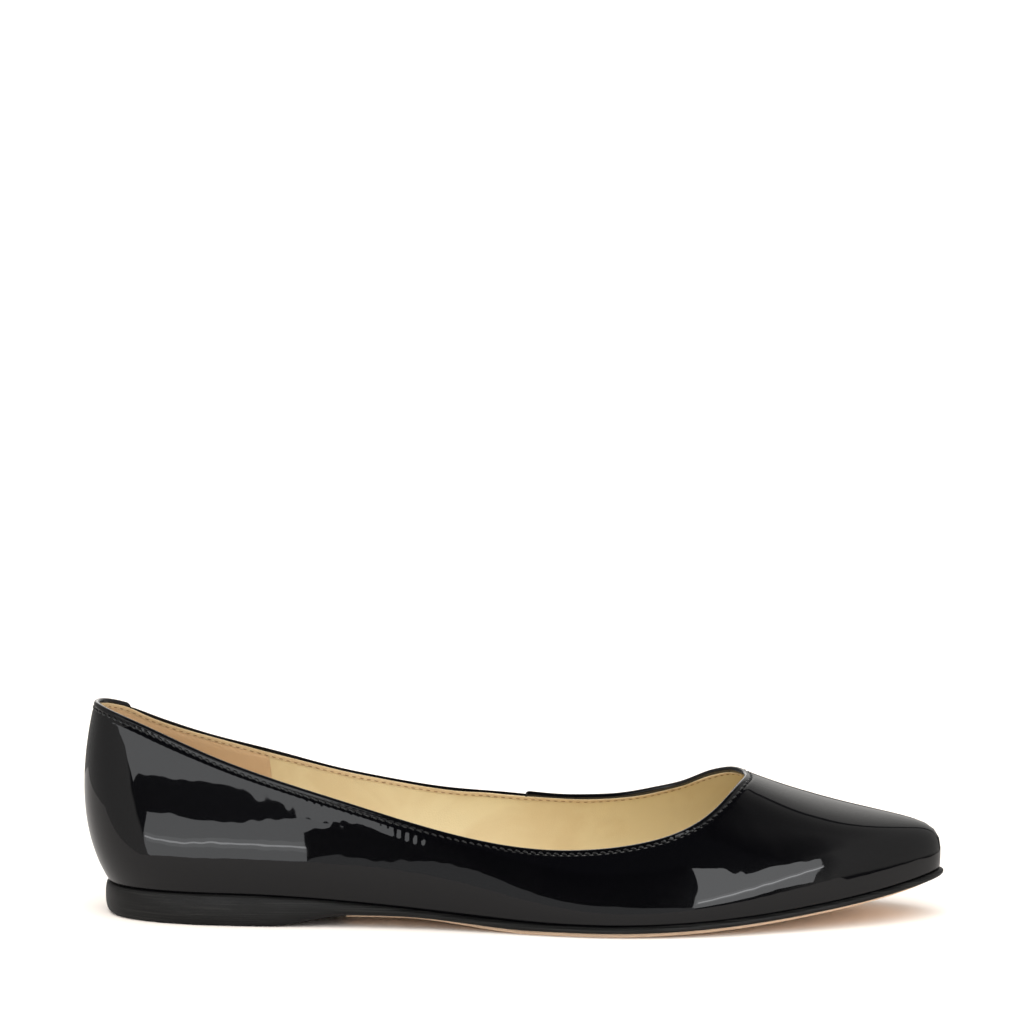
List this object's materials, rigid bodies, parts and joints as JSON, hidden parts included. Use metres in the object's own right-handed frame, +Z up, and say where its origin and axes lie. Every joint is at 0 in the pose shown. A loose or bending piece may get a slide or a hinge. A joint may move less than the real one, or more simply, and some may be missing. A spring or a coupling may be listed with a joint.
{
  "type": "almond toe flat",
  "caption": "Women's low-cut slip-on flat for the right foot, with an almond toe, a glossy black upper, a beige lining and a low heel.",
  "frame": {"origin": "on the floor, under the middle of the shoe's length and width", "axes": "+X towards the toe, +Y towards the inner side of the foot, +Z up"},
  "size_m": [0.2618, 0.0806, 0.0648],
  "materials": {
    "patent_leather": "glossy black patent",
    "insole_leather": "smooth beige",
    "sole_rubber": "satin black",
    "tread_rubber": "matt tan"
  },
  "bodies": {
    "root": {"upper": "patent_leather", "insole": "insole_leather", "sole_unit": "sole_rubber", "tread": "tread_rubber"}
  },
  "joints": []
}
